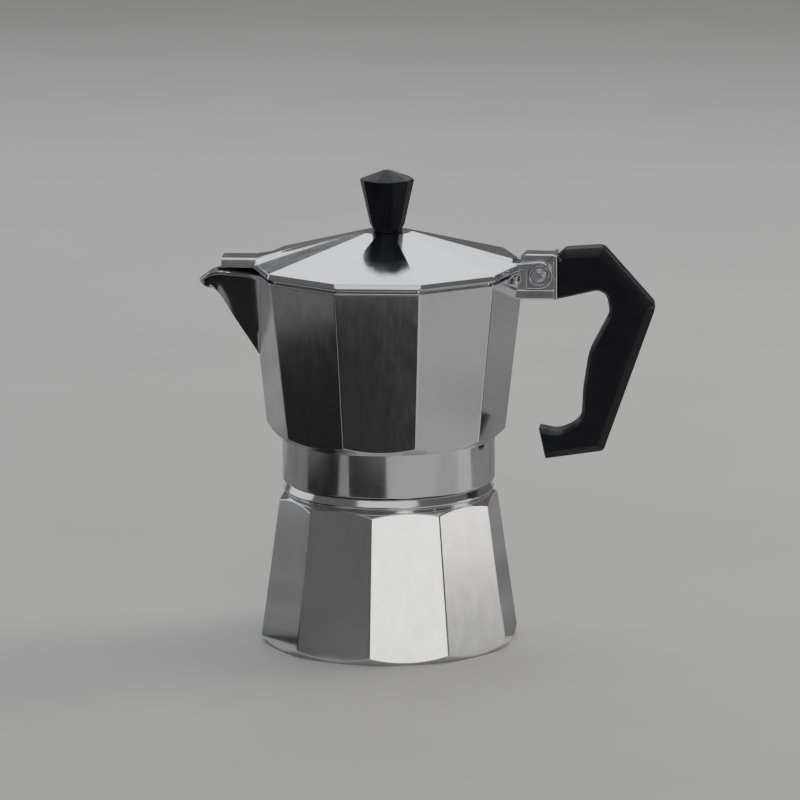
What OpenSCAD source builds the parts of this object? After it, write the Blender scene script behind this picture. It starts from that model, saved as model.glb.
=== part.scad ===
// Stovetop coffee maker with a ten-sided body: a boiler with a safety valve, a funnel with a basket,
// a gasket and filter plate, and a screw-on collector with spout, riser column, hinged lid and handle.
// The origin is the centre of the base, +Z is up, +X points to the handle and -X to the spout.

/* [Body] */
// Number of flat sides of the body
sides = 10; // [8:1:12]
// Corner radius of the boiler just above its base
base_r = 43; // [42:0.5:44]
// Height of the boiler's shoulder edge
shoulder_z = 48; // [46:0.5:49]
// Corner radius at the shoulder edge
shoulder_r = 36.6; // [36:0.2:37.5]
// Angle that the boiler's corners are turned from the collector's when screwed home
boiler_turn = 13.3; // [0:0.1:36]
// Height of the collector's lower facet edge
waist_z = 71.7; // [71:0.1:72]
// Corner radius at the collector's lower facet edge
waist_r = 38.8; // [38.5:0.1:39]
// Height of the collector's pouring rim
rim_z = 124; // [123.5:0.1:124.2]
// Corner radius at the pouring rim
rim_r = 45.3; // [45:0.1:45.6]

/* [Neck and thread] */
// Outer radius of the round collar that screws over the boiler's neck
collar_r = 35.1; // [34.8:0.1:35.4]
// Radius of the boiler's neck at the root of its thread
neck_r = 29.4; // [29:0.1:29.6]
// Height of the top of the boiler's neck
neck_top_z = 62; // [61.5:0.1:62]
// Thread pitch
pitch = 4; // [3.5:0.1:4]

/* [Lid and knob] */
// Corner radius of the lid's rim
lid_r = 46; // [45.8:0.1:46.4]
// Height of the underside of the lid's rim
lid_z = 125.2; // [125:0.1:125.6]
// Height of the top of the lid
lid_top_z = 137; // [136:0.1:138]
// Height of the top of the knob
knob_top_z = 157.5; // [150:0.5:160]
// Radius of the knob's widest edge
knob_r = 9; // [8:0.1:10]

/* [Hinge and handle] */
// Distance of the hinge pin from the body's axis
pin_x = 50.2; // [50:0.1:50.4]
// Height of the hinge pin
pin_z = 123.6; // [123.4:0.1:123.8]
// Radius of the hinge pin
pin_r = 1.5; // [1.2:0.1:1.8]
// Thickness of the handle
handle_w = 12; // [10:0.5:14]

/* [Hidden] */
$fn = 96;
e = 0.01;
fit = 0.05;
slip = 0.1;

// Boiler
base_bevel_h = 2.5;
boiler_wall = 3;
floor_t = 3;
shoulder_cone = 0.66;
cove_z = 50.3;
cove_r = 33;
bead_z = 50.6;
bead_top_z = 54.2;
bead_r = 34.3;
roof_z = shoulder_z - 2.6;
roof_r = 31.6;
throat_r = 26.5;
thread_h = 0.9;
thread_w = 1.8;
thread_z = 54.6;
thread_turns = 1.5;

// Safety valve, on an axis square to the pot's, at the back
valve_turn = boiler_turn + 90;
valve_z = 33;
pad_r = 6.6;
pad_face = 38.2;
valve_hole_r = 4.6;
hex_r = 6.6;
hex_h = 4.6;
nose_r = 4.6;
nose_end = 49.2;
chamber_r = 2.9;
seat_x = 37.4;
inlet_r = 1.4;
cap_x = 46.6;
stem_r = 0.7;
spring_r = 1.75;
wire_r = 0.28;

// Funnel, gasket and filter
flange_t = 0.8;
flange_r = 28.8;
basket_r = 25.9;
basket_t = 0.7;
basket_floor_z = 40;
stem_end_z = 8;
tube_r = 4.6;
tube_t = 0.7;
gasket_z = 62.9;
gasket_h = 3.25;
gasket_r = 30;
gasket_bore_r = 24.6;
filter_z = gasket_z + gasket_h + 0.05;
filter_r = 27.5;
filter_t = 0.6;

// Collector
collar_z = 54.4;
collar_root_r = 31.6;
collar_crest_r = 30.8;
under_z = 68.8;
under_cone = 0.73;
lip_t = 0.7;
ledge_r = 43.2;
ledge_top_z = 124.8;
wall = 2.4;
recess_top_z = filter_z + filter_t + 0.05;
floor_z = 70.6;
socket_h = 3.6;
column_z = recess_top_z + 2;
column_r = 8;
column_top_r = 5;
column_top_z = 111;
column_bore_r = 3.6;
column_wall = 1.4;
outlet_r = 1.8;

// Spout and the lid's hood over it
spout_half = 9;
spout_root_z = 96;
spout_x = 56.8;
spout_low_z = 118.4;
spout_mouth_half = 4.6;
keel_half = 0.2;
beak_x = 62;
beak_z = 120;
spout_wall = 1.9;
channel_keel = 2.1;
hood_x = 54.4;
hood_z = 128.4;
hood_half = 5;
hood_foot_half = 6.6;
prow_x = 32;
prow_z = 130.4;

// Lid and knob
lid_wall = 1.8;
lid_lip = 4.6;
lid_flat_r = 8;
knob_foot_r = 5;
knob_foot_h = 1.2;
knob_neck_r = 5.7;
knob_neck_h = 2.3;
knob_cap_h = 3.2;
knob_screw_r = 2;
knob_head_h = 2;
knob_washer_t = 0.6;

// Hinge boss, ears and handle
boss_half = 4.2;
boss_z = 115.4;
boss_top_z = 130.3;
boss_x = 43.7;
shelf_half = 6.3;
shelf_top_z = 118.7;
flange_x = 55;
flange_end_x = 56.2;
ear_r = 4.1;
ear_in = boss_half + 0.3;
ear_out = 6.3;
notch_x = 41.2;
tang_clear = 0.3;
tang_end_x = 66;
tang_half = 3;
tang_z = 120.5;
tang_top_z = 127.5;
handle_screw_x = 61.5;
handle_screw_r = 1.75;
handle_head_r = 2.9;
handle_head_z = 116.9;
handle_head_h = 1.7;

// Corners of the handle's outline in its own plane: distance from the body's axis, height, corner radius
HANDLE = [[56.2, 129.6, 0.6], [58.8, 131.9, 2], [71.2, 132.8, 3.5], [88.5, 113.2, 3.5], [71.2, 64.6, 2],
          [52, 61.8, 0.6], [49.7, 72.4, 0.6], [56.2, 70.9, 8], [63.9, 74.4, 6.5], [64.5, 86, 30],
          [66.3, 97.5, 15], [73.3, 111, 6], [71.9, 118.9, 5], [56.2, 115.3, 0.3]];

// A point turned by an angle about the origin
function at_turn(p, a) = [p[0] * cos(a) - p[1] * sin(a), p[0] * sin(a) + p[1] * cos(a)];
// Points of the arc of radius r that rounds the corner b between a and c
function corner(a, b, c, r, n = 6) =
    let(u = (a - b) / norm(a - b), v = (c - b) / norm(c - b), half = acos(u * v) / 2)
    let(start = b + u * r / tan(half), centre = b + (u + v) / norm(u + v) * r / sin(half))
    let(side = (u[0] * v[1] - u[1] * v[0]) > 0 ? -1 : 1, sweep = 180 - 2 * half)
    [for (i = [0:n]) centre + at_turn(start - centre, side * sweep * i / n)];
function at(list, i) = let(p = list[(i + len(list)) % len(list)]) [p[0], p[1]];
// An outline with each corner rounded by the radius that it carries
function rounded(list) =
    [for (i = [0:len(list) - 1]) each corner(at(list, i - 1), at(list, i), at(list, i + 1), list[i][2])];

// Triangles that join rings of m points each into a closed tube
function tube_faces(rings, m) = concat(
    [[for (j = [0:m - 1]) j]], [[for (j = [m - 1:-1:0]) (rings - 1) * m + j]],
    [for (i = [0:rings - 2], j = [0:m - 1]) [i * m + j, (i + 1) * m + j, (i + 1) * m + (j + 1) % m]],
    [for (i = [0:rings - 2], j = [0:m - 1]) [i * m + j, (i + 1) * m + (j + 1) % m, i * m + (j + 1) % m]]);

// Outline of a thread's ridge between its root and crest radii
function thread_outline(root, crest) =
    [[root, 0], [crest, thread_w / 3], [crest, thread_w * 2 / 3], [root, thread_w]];

// A helical ridge of a given outline (radius, height) about the Z axis
module ridge(outline, turns, rise, steps = 28) {
    count = round(turns * steps);
    m = len(outline);
    rings = [for (i = [0:count], p = outline)
        let(a = 360 * i / steps) [p[0] * cos(a), p[0] * sin(a), p[1] + rise * i / steps]];
    polyhedron(rings, tube_faces(count + 1, m));
}

// Ten-sided frustum from one height and corner radius to another
module facets(z0, r0, z1, r1) {
    translate([0, 0, z0]) cylinder(h = z1 - z0, r1 = r0, r2 = r1, $fn = sides);
}

// Ten-sided wall through two heights and corner radii, carried on to the ends lo and hi
module wall_facets(z0, r0, z1, r1, lo, hi) {
    slope = (r1 - r0) / (z1 - z0);
    facets(lo, r0 + slope * (lo - z0), hi, r0 + slope * (hi - z0));
}

module ring(z0, h, outer, inner) {
    translate([0, 0, z0]) difference() {
        cylinder(h = h, r = outer);
        translate([0, 0, -e]) cylinder(h = h + 2 * e, r = inner);
    }
}

module at_valve() {
    rotate([0, 0, valve_turn]) translate([0, 0, valve_z]) rotate([0, 90, 0]) children();
}

module boiler() color([0.78, 0.78, 0.8]) {
    difference() {
        union() {
            intersection() {
                rotate([0, 0, boiler_turn])
                    wall_facets(base_bevel_h, base_r, shoulder_z, shoulder_r, 0, cove_z);
                rotate_extrude() polygon([
                    [0, 0], [base_r - base_bevel_h, 0], [base_r + 1, base_bevel_h + 1],
                    [base_r + 1, shoulder_z - shoulder_cone * (base_r + 1 - shoulder_r)],
                    [cove_r + 0.6, shoulder_z + shoulder_cone * (shoulder_r - cove_r - 0.6)],
                    [cove_r, cove_z], [0, cove_z]]);
            }
            translate([0, 0, cove_z - 1]) cylinder(h = neck_top_z - cove_z + 1, r = neck_r);
            translate([0, 0, cove_z - 1]) cylinder(h = 2, r = cove_r);
            rotate_extrude() polygon([
                [28, bead_z], [bead_r - 0.6, bead_z], [bead_r, bead_z + 0.7], [bead_r, bead_top_z - 0.7],
                [bead_r - 0.6, bead_top_z], [28, bead_top_z]]);
            at_valve() translate([0, 0, 32]) cylinder(h = pad_face - 32, r = pad_r);
        }
        rotate([0, 0, boiler_turn])
            facets(floor_t, base_r - boiler_wall - 0.6, roof_z, shoulder_r - boiler_wall);
        rotate_extrude() polygon([
            [0, roof_z - e], [roof_r, roof_z - e], [throat_r, roof_z + 3.2], [throat_r, neck_top_z + 1],
            [0, neck_top_z + 1]]);
        at_valve() translate([0, 0, 20]) cylinder(h = 30, r = valve_hole_r);
    }
    translate([0, 0, thread_z]) ridge(thread_outline(neck_r - 0.3, neck_r + thread_h), thread_turns, pitch);
}

module valve_body() color([0.8, 0.65, 0.3]) at_valve() difference() {
    union() {
        translate([0, 0, 31.5]) cylinder(h = 8, r = valve_hole_r);
        translate([0, 0, pad_face + 0.6]) cylinder(h = hex_h, r = hex_r, $fn = 6);
        translate([0, 0, pad_face]) cylinder(h = nose_end - pad_face, r = nose_r);
    }
    translate([0, 0, 30]) cylinder(h = 10, r = inlet_r);
    translate([0, 0, seat_x]) rotate_extrude()
        polygon([[0, 0], [inlet_r, 0], [chamber_r, 1.5], [chamber_r, 20], [0, 20]]);
}

module valve_washer() color([0.7, 0.5, 0.3]) at_valve() ring(pad_face, 0.6, 6.4, nose_r);

module valve_poppet() color([0.82, 0.82, 0.84]) at_valve() {
    translate([0, 0, seat_x + 0.3]) rotate_extrude()
        polygon([[0, 0], [1.3, 0], [2.5, 1.5], [2.5, 2.3], [0, 2.3]]);
    translate([0, 0, seat_x + 1]) cylinder(h = nose_end + 0.6 - seat_x - 1, r = stem_r);
}

module valve_spring() color([0.75, 0.76, 0.78]) at_valve() translate([0, 0, seat_x + 2.95])
    ridge([for (i = [0:5]) [spring_r + wire_r * cos(60 * i), wire_r * sin(60 * i)]], 4, 1.48, 20);

module valve_cap() color([0.8, 0.65, 0.3])
    at_valve() ring(cap_x, nose_end - cap_x, chamber_r, stem_r + fit);

module funnel_basket() color([0.75, 0.75, 0.77]) {
    ring(neck_top_z, flange_t, flange_r, basket_r - basket_t - e);
    ring(basket_floor_z, neck_top_z - basket_floor_z + e, basket_r, basket_r - basket_t);
    translate([0, 0, basket_floor_z - 3]) rotate_extrude()
        polygon([[tube_r, 0], [tube_r + 1, 0], [basket_r, 3.2], [basket_r - basket_t, 3.6], [tube_r, 1]]);
}

module funnel_stem() color([0.75, 0.75, 0.77])
    ring(stem_end_z, basket_floor_z - 2 - stem_end_z, tube_r, tube_r - tube_t);

// A round plate drilled with rings of small holes
module drilled_plate(z, r, t, hole, rings, gap) {
    translate([0, 0, z]) difference() {
        cylinder(h = t, r = r);
        for (k = [1:rings], i = [0:6 * k - 1])
            rotate([0, 0, 60 * i / k]) translate([gap * k, 0, -e])
                cylinder(h = t + 2 * e, r = hole, $fn = 24);
    }
}

module funnel_plate() color([0.72, 0.72, 0.74])
    drilled_plate(basket_floor_z + 0.8, basket_r - basket_t - 0.1, 0.6, 0.8, 4, 5.2);

module gasket() color([0.86, 0.85, 0.8]) ring(gasket_z, gasket_h, gasket_r, gasket_bore_r);

module filter_plate() color([0.76, 0.76, 0.78]) drilled_plate(filter_z, filter_r, filter_t, 0.7, 5, 4.2);

// Wedge under the pouring lip, from the body's corner at x0 out to the mouth at x1: half and mouth are
// its half widths at the top, keel is its half width along the bottom edge
module spout_wedge(half, mouth, keel, root_z, low_z, x0, x1, top) {
    hull() {
        translate([-x0, -half, top - slip]) cube([4, 2 * half, slip]);
        translate([-x1, -mouth, top - slip]) cube([slip, 2 * mouth, slip]);
        translate([-x1, -keel, low_z]) cube([slip, 2 * keel, slip]);
        translate([-x0 + 1, -keel, root_z]) cube([3, 2 * keel, slip]);
    }
}

// A box of length x and height z across the spout, with its outer lower edge at a distance and a height
module across_spout(distance, half, z, size_x, size_z) {
    translate([-distance, -half, z]) cube([size_x, 2 * half, size_z]);
}

module beak() hull() {
    across_spout(spout_x, spout_mouth_half, rim_z + 0.4, 1, 1);
    across_spout(spout_x, keel_half, spout_low_z, 1, slip);
    across_spout(beak_x - 0.6, 3, beak_z + 1.2, slip, 0.6);
    across_spout(beak_x, 2, beak_z, 0.6, 0.6);
    across_spout(beak_x - 2.4, 3.6, beak_z + 2.9, slip, 0.8);
}

// What the coffee runs through: the hollow of the spout and the groove in the beak
module spout_channel() {
    spout_wedge(spout_half - spout_wall, 3, channel_keel, spout_root_z + 7.5, spout_low_z + 4.2,
                39, spout_x - 0.8, rim_z + 2);
    hull() {
        across_spout(spout_x - 1, 3.2, rim_z + 0.2, 2, 3);
        across_spout(beak_x - 1.5, 2.2, beak_z + 3, 0.5, 3);
    }
}

module collector() color([0.78, 0.78, 0.8]) {
    difference() {
        union() {
            translate([0, 0, collar_z]) cylinder(h = under_z - collar_z + 1, r = collar_r);
            intersection() {
                wall_facets(waist_z, waist_r, rim_z - lip_t, rim_r - 0.4, under_z, rim_z - lip_t);
                rotate_extrude() polygon([
                    [0, under_z], [collar_r, under_z], [rim_r, under_z + under_cone * (rim_r - collar_r)],
                    [rim_r, rim_z], [0, rim_z]]);
            }
            facets(rim_z - lip_t, rim_r, rim_z, rim_r);
            facets(rim_z - e, ledge_r, ledge_top_z, ledge_r);
            spout_wedge(spout_half, spout_mouth_half, keel_half, spout_root_z, spout_low_z,
                        42, spout_x, rim_z + 1);
            beak();
            hinge_boss();
        }
        facets(floor_z + 3, waist_r - 3, ledge_top_z + e, ledge_r - wall);
        translate([0, 0, floor_z]) rotate_extrude()
            polygon([[0, 1.6], [9, 1.6], [33.4, 0], [33.4, 3.2], [0, 3.2]]);
        translate([0, 0, collar_z - e]) cylinder(h = gasket_z - collar_z + 2 * e, r = collar_root_r);
        translate([0, 0, gasket_z]) cylinder(h = recess_top_z - gasket_z, r = gasket_r + 0.3);
        translate([0, 0, recess_top_z - e]) rotate_extrude()
            polygon([[0, 0], [25, 0], [7, 2.6], [0, 2.6]]);
        translate([0, 0, recess_top_z]) cylinder(h = 20, r = column_bore_r + column_wall);
        spout_channel();
        across_spout(58, 10, ledge_top_z - 0.4, 14.5, 5);
    }
    translate([0, 0, collar_z + 1.8])
        ridge(thread_outline(collar_root_r + 0.3, collar_crest_r), 1.4, pitch);
}

// A block centred on the X axis between two distances and two heights
module block(x0, x1, half, z0, z1) {
    translate([x0, -half, z0]) cube([x1 - x0, 2 * half, z1 - z0]);
}

// Block on the collector that carries the hinge pin, and the tang inside the handle
module hinge_boss() {
    difference() {
        union() {
            block(38, flange_x + e, boss_half, boss_z, pin_z);
            block(boss_x, flange_x + e, boss_half, boss_z, boss_top_z);
            block(38, flange_x + e, shelf_half, boss_z, shelf_top_z);
            block(flange_x, flange_end_x, shelf_half, boss_z, boss_top_z);
            block(flange_end_x - e, tang_end_x, tang_half, tang_z, tang_top_z);
        }
        translate([boss_x, 0, boss_top_z]) rotate([0, 45, 0]) cube([2.4, 20, 2.4], center = true);
        translate([pin_x, 10, pin_z]) rotate([90, 0, 0]) cylinder(h = 20, r = pin_r);
        translate([handle_screw_x, 0, tang_z - 1]) cylinder(h = 7, r = handle_screw_r);
    }
}

// Riser: a socket in the collector's floor and a tapering tube with a closed top and two outlets
module column() color([0.78, 0.78, 0.8]) difference() {
    rotate_extrude() polygon([
        [column_bore_r, column_z], [column_bore_r + column_wall, column_z],
        [column_bore_r + column_wall, column_z + socket_h], [column_r, column_z + socket_h],
        [column_r, column_z + socket_h + column_wall], [column_top_r, column_top_z - 3],
        [column_top_r - 1, column_top_z], [0, column_top_z], [0, column_top_z - 2],
        [column_bore_r, column_top_z - 2]]);
    for (a = [90, 270]) rotate([0, 0, a]) translate([0, 0, column_top_z - 6])
        rotate([0, 90, 0]) cylinder(h = 12, r = outlet_r);
}

module hinge_pin() color([0.8, 0.8, 0.82]) translate([pin_x, 0, pin_z]) rotate([90, 0, 0]) {
    cylinder(h = 2 * ear_out + 0.8, r = pin_r, center = true);
    for (s = [-1, 1]) translate([0, 0, s * (ear_out + 0.6)]) cylinder(h = 0.6, r = 2.2, center = true);
}

module handle() color([0.04, 0.04, 0.05]) difference() {
    translate([0, handle_w / 2, 0]) rotate([90, 0, 0]) linear_extrude(handle_w) polygon(rounded(HANDLE));
    block(50, tang_end_x + tang_clear, tang_half + fit, tang_z - fit, tang_top_z + fit);
    translate([handle_screw_x, 0, handle_head_z]) cylinder(h = 6, r = handle_screw_r + 0.1);
    translate([handle_screw_x, 0, handle_head_z + handle_head_h - 6])
        cylinder(h = 6, r = handle_head_r + 0.2);
}

// Screw with a slotted head: the head is below the shank
module screw(head_r, head_h, shank_r, shank_h) {
    difference() {
        cylinder(h = head_h, r = head_r);
        translate([-head_r, -0.4, -e]) cube([2 * head_r, 0.8, head_h / 2]);
    }
    translate([0, 0, head_h - e]) cylinder(h = shank_h, r = shank_r);
}

module handle_screw() color([0.8, 0.8, 0.82]) translate([handle_screw_x, 0, handle_head_z])
    screw(handle_head_r, handle_head_h, handle_screw_r, 7.5);

module lid() color([0.8, 0.81, 0.84]) difference() {
    union() {
        facets(lid_z, lid_r, lid_z + lid_wall, lid_r);
        facets(lid_z + lid_wall, lid_r, lid_top_z, lid_flat_r);
        hull() {
            across_spout(hood_x, hood_half, hood_z - 0.4, 12, 0.4);
            across_spout(hood_x, hood_foot_half, lid_z + 0.2, 13, 0.2);
            across_spout(prow_x, 0.5, prow_z, 0.5, 0.4);
        }
        for (s = [-1, 1]) translate([0, s * (ear_in + ear_out) / 2, 0]) rotate([90, 0, 0])
            linear_extrude(ear_out - ear_in, center = true) {
                translate([pin_x, pin_z]) circle(r = ear_r);
                translate([40, lid_z]) square([pin_x - 40, pin_z + ear_r - lid_z]);
                translate([45.6, pin_z - ear_r]) square([pin_x - 45.6, 2 * ear_r]);
            }
    }
    facets(lid_z - e, lid_r - lid_lip, lid_top_z - lid_wall, 7);
    hull() {
        across_spout(hood_x + 1, hood_half - 1.6, hood_z - 2, 14, 0.4);
        across_spout(hood_x + 1, hood_foot_half - 1.6, lid_z - 1, 16, 0.2);
    }
    block(notch_x, notch_x + 12, ear_in, lid_z - 2, lid_z + 10);
    translate([pin_x, 10, pin_z]) rotate([90, 0, 0]) cylinder(h = 20, r = pin_r + fit);
    cylinder(h = knob_top_z, r = knob_screw_r + 0.1);
}

module knob() color([0.05, 0.05, 0.06]) difference() {
    union() {
        facets(lid_top_z, knob_foot_r, lid_top_z + knob_foot_h, knob_foot_r);
        facets(lid_top_z + knob_foot_h, knob_foot_r, lid_top_z + knob_neck_h, knob_neck_r);
        facets(lid_top_z + knob_neck_h, knob_neck_r, knob_top_z - knob_cap_h, knob_r);
        facets(knob_top_z - knob_cap_h, knob_r, knob_top_z, 0.4);
    }
    translate([0, 0, lid_top_z - 1]) cylinder(h = 11, r = knob_screw_r);
}

module knob_screw() color([0.8, 0.8, 0.82])
    translate([0, 0, lid_top_z - lid_wall - knob_washer_t - knob_head_h])
        screw(3.6, knob_head_h, knob_screw_r, 11);

module knob_washer() color([0.7, 0.7, 0.72])
    ring(lid_top_z - lid_wall - knob_washer_t, knob_washer_t, 4.6, knob_screw_r + fit);

boiler();
valve_body();
valve_washer();
valve_poppet();
valve_spring();
valve_cap();
funnel_basket();
funnel_stem();
funnel_plate();
gasket();
filter_plate();
collector();
column();
hinge_pin();
handle();
handle_screw();
lid();
knob();
knob_screw();
knob_washer();
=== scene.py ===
import math

import bmesh
import bpy
import numpy as np
from mathutils import Matrix, Vector


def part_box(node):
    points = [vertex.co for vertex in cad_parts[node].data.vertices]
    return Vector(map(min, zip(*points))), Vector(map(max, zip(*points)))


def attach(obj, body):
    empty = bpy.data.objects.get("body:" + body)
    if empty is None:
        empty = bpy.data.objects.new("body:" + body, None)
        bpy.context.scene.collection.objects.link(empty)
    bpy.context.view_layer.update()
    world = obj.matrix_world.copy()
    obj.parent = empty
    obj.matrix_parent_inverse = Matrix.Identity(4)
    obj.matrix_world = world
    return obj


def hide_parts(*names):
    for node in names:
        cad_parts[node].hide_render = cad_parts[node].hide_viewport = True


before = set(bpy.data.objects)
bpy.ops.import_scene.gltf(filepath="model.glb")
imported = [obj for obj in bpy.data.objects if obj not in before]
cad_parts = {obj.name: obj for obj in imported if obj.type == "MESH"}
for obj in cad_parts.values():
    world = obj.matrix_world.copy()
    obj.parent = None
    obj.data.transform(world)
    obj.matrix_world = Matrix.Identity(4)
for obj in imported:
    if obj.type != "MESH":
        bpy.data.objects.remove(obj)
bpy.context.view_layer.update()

# Sizes are in millimetres, and meshes are scaled to metres at the end. The camera, the lights and the
# floor are in metres.
MM = 0.001
SIDES = 10
HALF = math.pi / SIDES
FILLET_STEPS = 4
SMALL_FILLET_STEPS = 3
EDGE_STEPS = 4
THREAD_STEPS = 72
THREAD_PITCH = 4.0
SOLVING_ROUNDS = 12
COLUMNS_A_SIDE = 15
BOILER_TURN = math.radians(13.3)


def low(node, axis):
    """Lowest coordinate of a CAD node along an axis, in millimetres."""
    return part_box(node)[0][axis] / MM


def high(node, axis):
    """Highest coordinate of a CAD node along an axis, in millimetres."""
    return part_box(node)[1][axis] / MM


# Boiler
BASE_R = 43.0
BASE_Z = 2.5
SHOULDER_R = 36.6
SHOULDER_Z = 48.0
SHOULDER_CONE = 0.66
COVE_R = 33.0
BEAD_R = 34.9
BEAD_Z = (50.6, 54.1)
NECK_R = 29.4
NECK_TOP = 62.0
THROAT_R = 26.5
ROOF_Z = 45.4
FLOOR_Z = 3.0
CORNER_R = 1.5

# Collector
COLLAR_Z = low("collector", 2)
COLLAR_R = 35.1
UNDER_Z = 68.8
UNDER_CONE = 0.73
WAIST_R = 38.8
WAIST_Z = 71.7
RIM_R = 45.3
RIM_Z = 124.0
LIP = 0.7
RIDGE = 1.6
LEDGE_R = 43.2
LEDGE_Z = 124.8

# Lid, knob, hinge
LID_R = 46.0
LID_Z = 125.2
LID_RIM = 1.8
LID_TOP = low("knob", 2)
KNOB_TOP = high("knob", 2)
PIN = (50.2, 123.6)
EAR_R = 4.5
EAR_Y = (4.5, 6.3)
VALVE_TURN = BOILER_TURN + math.pi / 2
VALVE_Z = 33.0
HEXAGON_R = 6.6
HEXAGON_CHAMFER_R = 6.05


# ---------------------------------------------------------------- mesh building

def facet_radius(theta, corner_r, phase, rounding=CORNER_R):
    """Radius at angle theta of a ten-sided outline whose corners are rounded."""
    apothem = corner_r * math.cos(HALF)
    off = abs((theta - phase + HALF) % (2 * HALF) - HALF)
    centre = (apothem - rounding) / math.cos(HALF)
    if math.tan(off) < rounding * math.sin(HALF) / (centre + rounding * math.cos(HALF)):
        return centre * math.cos(off) + math.sqrt(rounding ** 2 - (centre * math.sin(off)) ** 2)
    return apothem / math.cos(HALF - off)


def columns(phase=0.0):
    """Angles of the mesh's columns: close together at the corners, even along the sides."""
    corner = [math.radians(a) for a in (-1.1, -0.72, -0.48, -0.24, 0, 0.24, 0.48, 0.72, 1.1)]
    flat = np.linspace(corner[-1], 2 * HALF + corner[0], COLUMNS_A_SIDE)[1:-1]
    return [phase + 2 * HALF * k + a for k in range(SIDES) for a in corner + list(flat)]


def even_columns(count):
    """Angles evenly spaced round the circle."""
    return [2 * math.pi * k / count for k in range(count)]


def filleted(corners, closed=False, steps=FILLET_STEPS):
    """Points of an outline of (x, y, fillet radius) corners, always the same number of points."""
    points = []
    count = len(corners)
    for i, (x, y, fillet) in enumerate(corners):
        here = np.array((x, y), float)
        if fillet == 0 or (not closed and i in (0, count - 1)):
            points.append(here)
            continue
        before = np.array(corners[i - 1][:2], float) - here
        after = np.array(corners[(i + 1) % count][:2], float) - here
        length_b, length_a = np.linalg.norm(before), np.linalg.norm(after)
        u, v = before / length_b, after / length_a
        half = math.acos(max(-1.0, min(1.0, float(u @ v)))) / 2
        reach = min(fillet / math.tan(half), 0.48 * length_b, 0.48 * length_a)
        start, end = here + u * reach, here + v * reach
        if half > math.radians(88):
            points += [start + (end - start) * k / steps for k in range(steps + 1)]
            continue
        middle = here + (u + v) / np.linalg.norm(u + v) * reach * math.tan(half) / math.sin(half)
        sweep = math.pi - 2 * half
        for k in range(steps + 1):
            a = sweep * k / steps
            points.append(middle + ((start - middle) * math.sin(sweep - a) + (end - middle) * math.sin(a))
                          / math.sin(sweep))
    return points


def object_from(name, vertices, faces):
    """A mesh object, cleaned and with its faces turned outwards."""
    mesh = bpy.data.meshes.new(name)
    mesh.from_pydata([tuple(v) for v in vertices], [], faces)
    bm = bmesh.new()
    bm.from_mesh(mesh)
    bmesh.ops.remove_doubles(bm, verts=bm.verts, dist=1e-5)
    bmesh.ops.dissolve_degenerate(bm, dist=1e-5, edges=bm.edges)
    bmesh.ops.recalc_face_normals(bm, faces=bm.faces)
    bm.to_mesh(mesh)
    bm.free()
    piece = bpy.data.objects.new(name, mesh)
    bpy.context.scene.collection.objects.link(piece)
    return piece


def turned(name, outline, angles, closed):
    """Sweeps an outline round the Z axis: outline(theta) gives (radius, height) points."""
    vertices = []
    for theta in angles:
        for r, z in outline(theta):
            vertices.append((r * math.cos(theta), r * math.sin(theta), z))
    rows = len(vertices) // len(angles)
    faces = []
    for c in range(len(angles)):
        d = (c + 1) % len(angles)
        for j in range(rows if closed else rows - 1):
            k = (j + 1) % rows
            faces.append((c * rows + j, d * rows + j, d * rows + k, c * rows + k))
    return object_from(name, vertices, faces)


def lathe(name, corners, closed, count=128):
    """Sweeps an outline of (radius, height, fillet) corners round the Z axis."""
    points = filleted(corners, closed)
    return turned(name, lambda theta: points, even_columns(count), closed)


def loft(name, rings):
    """A solid through rings of the same number of points, with flat ends."""
    count = len(rings[0])
    vertices = [p for ring in rings for p in ring]
    faces = [tuple(range(count)), tuple(len(vertices) - count + i for i in range(count))]
    for j in range(len(rings) - 1):
        for i in range(count):
            k = (i + 1) % count
            faces.append((j * count + i, j * count + k, (j + 1) * count + k, (j + 1) * count + i))
    return object_from(name, vertices, faces)


def inset(points, amount):
    """Moves a closed outline inwards by an amount."""
    count = len(points)
    area = sum(points[i][0] * points[(i + 1) % count][1] - points[(i + 1) % count][0] * points[i][1]
               for i in range(count))
    side = 1 if area > 0 else -1
    result = []
    for i, p in enumerate(points):
        u = points[i] - points[i - 1]
        v = points[(i + 1) % count] - points[i]
        u, v = u / np.linalg.norm(u), v / np.linalg.norm(v)
        normal = np.array((-(u[1] + v[1]), u[0] + v[0])) * side
        scale = max(float(normal @ normal) / 2, 0.35)
        result.append(p + normal * amount / scale)
    return result


def prism(name, outline, half, edge, middle=0.0):
    """An outline in the X-Z plane made 2 * half thick along Y, with rounded side edges."""
    rings = []
    for side in (-1, 1):
        for k in range(EDGE_STEPS + 1):
            a = math.pi / 2 * (k if side < 0 else EDGE_STEPS - k) / EDGE_STEPS
            ring = inset(outline, edge * (1 - math.sin(a)))
            y = middle + side * (half - edge * (1 - math.cos(a)))
            rings.append([(p[0], y, p[1]) for p in ring])
    return loft(name, rings)


def boolean(piece, tool, operation):
    """Joins or cuts piece with tool, and removes the tool."""
    modifier = piece.modifiers.new("shape", "BOOLEAN")
    modifier.operation = operation
    modifier.object = tool
    modifier.solver = "MANIFOLD"
    graph = bpy.context.evaluated_depsgraph_get()
    mesh = bpy.data.meshes.new_from_object(piece.evaluated_get(graph))
    piece.modifiers.clear()
    piece.data = mesh
    bpy.data.objects.remove(tool)
    return piece


def merge_flats(piece, where):
    """Joins the slivers that a boolean leaves in flat faces, where the given test holds."""
    bm = bmesh.new()
    bm.from_mesh(piece.data)
    vertices = [v for v in bm.verts if where(v.co)]
    edges = [e for e in bm.edges if where(e.verts[0].co) and where(e.verts[1].co)]
    bmesh.ops.dissolve_limit(bm, angle_limit=math.radians(0.6), verts=vertices, edges=edges)
    bm.to_mesh(piece.data)
    bm.free()


# Faces with more vertices than this are flat ends, and are shaded flat.
MOST_SMOOTH = 8


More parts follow.
